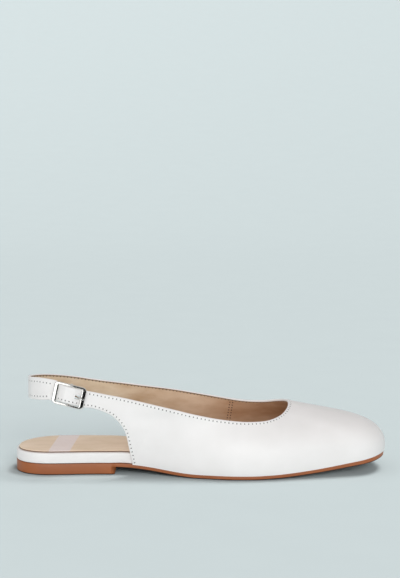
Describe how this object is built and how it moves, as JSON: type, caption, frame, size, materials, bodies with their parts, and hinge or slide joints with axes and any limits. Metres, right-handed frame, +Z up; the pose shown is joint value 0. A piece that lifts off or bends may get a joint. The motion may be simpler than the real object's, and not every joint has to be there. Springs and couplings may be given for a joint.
{
  "type": "sling back flat",
  "caption": "Right women's flat in smooth white leather: closed soft square toe, sling strap with side buckle, leather-wrapped footbed, thin brown sole and low heel.",
  "frame": {"origin": "on the floor, under the middle of the shoe's box", "axes": "+X towards the toe, +Y towards the inner (medial) side, +Z up"},
  "size_m": [0.253, 0.0818, 0.0644],
  "materials": {
    "sole_rubber": "brown moulded sole, satin",
    "white_leather": "smooth off-white leather, soft sheen",
    "lining_leather": "tan lining leather, matt",
    "buckle_metal": "polished nickel plate"
  },
  "bodies": {
    "root": {"unit_sole": "sole_rubber", "footbed": "white_leather", "sock": "lining_leather", "upper": "white_leather", "buckle_frame": "buckle_metal", "buckle_prong": "buckle_metal"}
  },
  "joints": []
}
